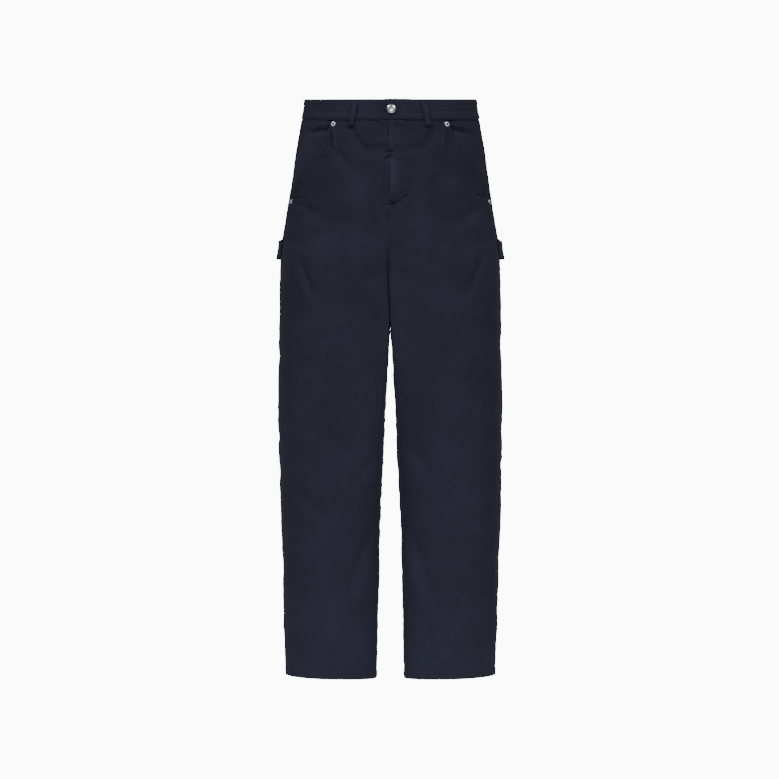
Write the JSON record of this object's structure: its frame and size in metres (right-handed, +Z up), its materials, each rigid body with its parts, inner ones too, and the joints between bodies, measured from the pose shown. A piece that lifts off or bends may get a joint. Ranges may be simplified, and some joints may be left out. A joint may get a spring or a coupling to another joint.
{
  "type": "trousers",
  "caption": "Straight-leg cotton work trousers with slanted riveted front pockets, patch pockets behind, side hammer loops and a buttoned waistband.",
  "frame": {"origin": "the centre of the waist opening, half way up the waistband", "axes": "+Z up along the legs towards the waist, -Y to the front with the fly, +X to the wearer's left"},
  "size_m": [0.4282, 0.2244, 1.084],
  "materials": {
    "cloth": "matte navy cotton twill",
    "metal": "polished nickel plate"
  },
  "bodies": {
    "root": {"front_left": "cloth", "front_right": "cloth", "back_left": "cloth", "back_right": "cloth", "hip_left": "cloth", "hip_right": "cloth", "fly": "cloth", "waistband": "cloth", "patch_pocket_left": "cloth", "patch_pocket_right": "cloth", "hammer_loop_left": "cloth", "hammer_loop_right": "cloth", "belt_loop_front_left": "cloth", "belt_loop_front_right": "cloth", "belt_loop_back_left": "cloth", "belt_loop_back_right": "cloth", "belt_loop_back": "cloth", "button": "metal", "rivet_top_left": "metal", "rivet_top_right": "metal", "rivet_side_left": "metal", "rivet_side_right": "metal"}
  },
  "joints": []
}
